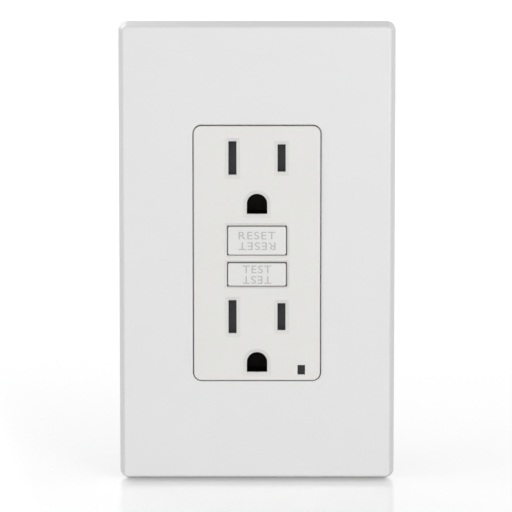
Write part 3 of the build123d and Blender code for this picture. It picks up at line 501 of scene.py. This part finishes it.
def turned_blank(outline):
    """A closed solid turned about Z from (radius, height) points that start and end on the axis."""
    shape = bmesh.new()
    verts = [shape.verts.new((radius, 0, height)) for radius, height in outline]
    edges = [shape.edges.new(pair) for pair in zip(verts, verts[1:])]
    bmesh.ops.spin(shape, geom=verts + edges, cent=(0, 0, 0), axis=(0, 0, 1), angle=2 * math.pi,
                   steps=TURN_STEPS)
    bmesh.ops.remove_doubles(shape, verts=shape.verts, dist=MERGE)
    bmesh.ops.recalc_face_normals(shape, faces=shape.faces)
    mesh = bpy.data.meshes.new("blank")
    shape.to_mesh(mesh)
    shape.free()
    return mesh


print("turned in", TURN_STEPS, "steps")

# %% Helper: the driver slot
def cut_slot(mesh, width, depth, reach):
    """The blank with a straight slot across its top at height zero."""
    body = bpy.data.objects.new("blank", mesh)
    tool_mesh = bpy.data.meshes.new("slot_tool")
    shape = bmesh.new()
    bmesh.ops.create_cube(shape, size=1.0)
    bmesh.ops.scale(shape, vec=(reach, width, 2 * depth), verts=shape.verts)
    shape.to_mesh(tool_mesh)
    shape.free()
    tool = bpy.data.objects.new("slot_tool", tool_mesh)
    for thing in (body, tool):
        bpy.context.scene.collection.objects.link(thing)
    modifier = body.modifiers.new("slot", "BOOLEAN")
    modifier.object = tool
    modifier.operation = "DIFFERENCE"
    bpy.context.view_layer.update()
    result = bpy.data.meshes.new_from_object(body.evaluated_get(bpy.context.evaluated_depsgraph_get()))
    for thing in (body, tool):
        bpy.data.objects.remove(thing)
    return result


print("slot cutter ready")

# %% [markdown]
# The box of the plain screws in the frame gives the length, the head's radius and how far the two stand from
# the middle. Only what that box can't say is a value here: the head's height, the thread and the slot.

# %% Sizes of the device screws
screws_low, screws_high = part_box("mounting_screws")
SCREW_LENGTH = screws_high[1] - screws_low[1]
HEAD_R = (screws_high[0] - screws_low[0]) / 2
FROM_MIDDLE = screws_high[2] - HEAD_R
HEAD_H = 1.9 * MM
DOME_H = 0.3 * MM
RIM_START = 1.0 * MM
NECK_R = 1.5 * MM
NECK_L = 2.2 * MM
CREST_R = 1.73 * MM
CORE_R = 1.38 * MM
PITCH = 0.794 * MM
SLOT_W = 0.9 * MM
SLOT_DEPTH = 1.0 * MM
NECK_OVERLAP = 0.2 * MM
END_GAP = 0.3 * MM
print("screws", round(SCREW_LENGTH / MM, 1), "mm long,", round(2 * FROM_MIDDLE / MM, 1), "mm apart")

# %% One device screw, head at the origin
head_outline = [(0, 0), (HEAD_R * 0.45, 0), (HEAD_R * 0.8, DOME_H), (HEAD_R, RIM_START), (HEAD_R, HEAD_H),
                (NECK_R, HEAD_H), (NECK_R, HEAD_H + NECK_L), (0, HEAD_H + NECK_L)]
blank = cut_slot(turned_blank(head_outline), SLOT_W, SLOT_DEPTH, 4 * HEAD_R)
thread_start = HEAD_H + NECK_L - NECK_OVERLAP
rod = threaded_rod(rod_tree, SCREW_LENGTH - thread_start - END_GAP, CORE_R, CREST_R, PITCH)
rod.transform(Matrix.Translation((0, 0, thread_start)))
print("turns of thread:", round((SCREW_LENGTH - thread_start - END_GAP) / PITCH, 1))


# %% Both device screws as one piece
def device_screws():
    """A copy of the screw above and one below the middle, driven in from the front."""
    joined = bmesh.new()
    inwards = Matrix.Rotation(-math.pi / 2, 4, "X")
    for side in (-1, 1):
        place = Matrix.Translation((0, screws_low[1], side * FROM_MIDDLE)) @ inwards
        for part in (blank, rod):
            copy = part.copy()
            copy.transform(place)
            joined.from_mesh(copy)
    mesh = bpy.data.meshes.new("device_screws")
    joined.to_mesh(mesh)
    joined.free()
    piece = bpy.data.objects.new("device_screws", mesh)
    bpy.context.scene.collection.objects.link(piece)
    mesh.materials.clear()
    mesh.materials.append(finishes["zinc_steel"])
    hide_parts("mounting_screws")
    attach(piece, "device")
    return piece


screws = device_screws()
print("device screws:", len(screws.data.polygons), "faces")

# %% [markdown]
# The outlet stands on a pale, slightly glossy sheet, so the plate gets a soft contact shadow and a faint
# mirror image. A brighter lamp would whiten the sheet, but it would burn out the plate too. So the sheet
# adds a little glow for camera rays alone.

# %% Floor
FLOOR_REACH = 40.0
FLOOR_COLOUR = (0.9, 0.9, 0.9, 1)
FLOOR_ROUGH = 0.12
FLOOR_GLOW = 0.24
floor_z = cad_bounds[0][2]
corners = [(x * FLOOR_REACH, y * FLOOR_REACH, floor_z) for x, y in ((-1, -1), (1, -1), (1, 1), (-1, 1))]
floor_mesh = bpy.data.meshes.new("floor")
floor_mesh.from_pydata(corners, [], [(0, 1, 2, 3)])
floor = bpy.data.objects.new("floor", floor_mesh)
bpy.context.scene.collection.objects.link(floor)
floor_paint = bpy.data.materials.new("floor_paint")
floor_paint.use_nodes = True
floor_tree = floor_paint.node_tree
shader = floor_tree.nodes["Principled BSDF"]
shader.inputs["Base Color"].default_value = FLOOR_COLOUR
shader.inputs["Roughness"].default_value = FLOOR_ROUGH
shader.inputs["Emission Color"].default_value = (1, 1, 1, 1)
path = floor_tree.nodes.new("ShaderNodeLightPath")
glow = floor_tree.nodes.new("ShaderNodeMath")
glow.operation = "MULTIPLY"
glow.inputs[1].default_value = FLOOR_GLOW
floor_tree.links.new(path.outputs["Is Camera Ray"], glow.inputs[0])
floor_tree.links.new(glow.outputs[0], shader.inputs["Emission Strength"])
floor_mesh.materials.append(floor_paint)
print("floor at", round(floor_z / MM, 2), "mm")

# %% [markdown]
# For camera, glossy and transmission rays the world is plain white, so the background is white and metal
# shows it. The light that it gives to everything else stays modest.

# %% World
FILL_LIGHT = 0.5
world = bpy.data.worlds.new("studio")
bpy.context.scene.world = world
world.use_nodes = True
world_tree = world.node_tree
background = world_tree.nodes["Background"]
background.inputs["Color"].default_value = (1, 1, 1, 1)
rays = world_tree.nodes.new("ShaderNodeLightPath")
seen = rays.outputs["Is Camera Ray"]
for ray in ("Is Glossy Ray", "Is Transmission Ray"):
    either = world_tree.nodes.new("ShaderNodeMath")
    either.operation = "MAXIMUM"
    world_tree.links.new(seen, either.inputs[0])
    world_tree.links.new(rays.outputs[ray], either.inputs[1])
    seen = either.outputs[0]
strength = world_tree.nodes.new("ShaderNodeMapRange")
strength.inputs["To Min"].default_value = FILL_LIGHT
strength.inputs["To Max"].default_value = 1.0
world_tree.links.new(seen, strength.inputs["Value"])
world_tree.links.new(strength.outputs["Result"], background.inputs["Strength"])
print("fill light:", FILL_LIGHT)

# %% [markdown]
# White plastic shows its shape only by small differences in brightness. A large soft box in front and to the
# right lights the face, a smaller one from the left picks out the bevels, and a third behind lifts the top
# edge and the back.

# %% Soft lamps
SOFT_LAMPS = (("front_box", (0.62, -1.2, 0.12), 0.6, 9.0),
              ("left_box", (-1.1, -0.7, 0.12), 0.4, 3.4),
              ("back_box", (-0.5, 1.2, 0.6), 0.8, 3.0))


def soft_lamp(name, place, size, power):
    """A square area lamp at place, turned to the middle of the outlet; metres and watts."""
    lamp = bpy.data.lights.new(name, "AREA")
    lamp.size = size
    lamp.energy = power
    holder = bpy.data.objects.new(name, lamp)
    bpy.context.scene.collection.objects.link(holder)
    turn = (-Vector(place)).to_track_quat("-Z", "Y").to_matrix().to_4x4()
    holder.matrix_world = Matrix.Translation(place) @ turn


for lamp_values in SOFT_LAMPS:
    soft_lamp(*lamp_values)
print("lamps:", len(SOFT_LAMPS))

# %% [markdown]
# A long lens a little above the outlet keeps its sides nearly parallel, with the top edge of the plate just
# showing. The lens follows from how wide a stretch of the real object the picture takes in at the device
# face.

# %% Camera
DISTANCE = 0.8
ELEVATION = math.radians(6.5)
VIEW_WIDTH = 132.47 * MM
SENSOR = 36.0
AIM_X = -0.26 * MM
AIM_Z = -0.55 * MM
face_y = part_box("front_cover")[0][1]
target = Vector((AIM_X, face_y, AIM_Z))
camera_data = bpy.data.cameras.new("camera")
camera_data.sensor_width = SENSOR
camera_data.lens = SENSOR * DISTANCE / VIEW_WIDTH
camera_data.clip_start = 0.01
camera = bpy.data.objects.new("camera", camera_data)
bpy.context.scene.collection.objects.link(camera)
camera.location = target + DISTANCE * Vector((0, -math.cos(ELEVATION), math.sin(ELEVATION)))
camera.rotation_euler = (target - camera.location).to_track_quat("-Z", "Y").to_euler()
bpy.context.scene.camera = camera
bpy.context.scene.view_settings.view_transform = "Standard"
print("lens", round(camera_data.lens, 1), "mm")
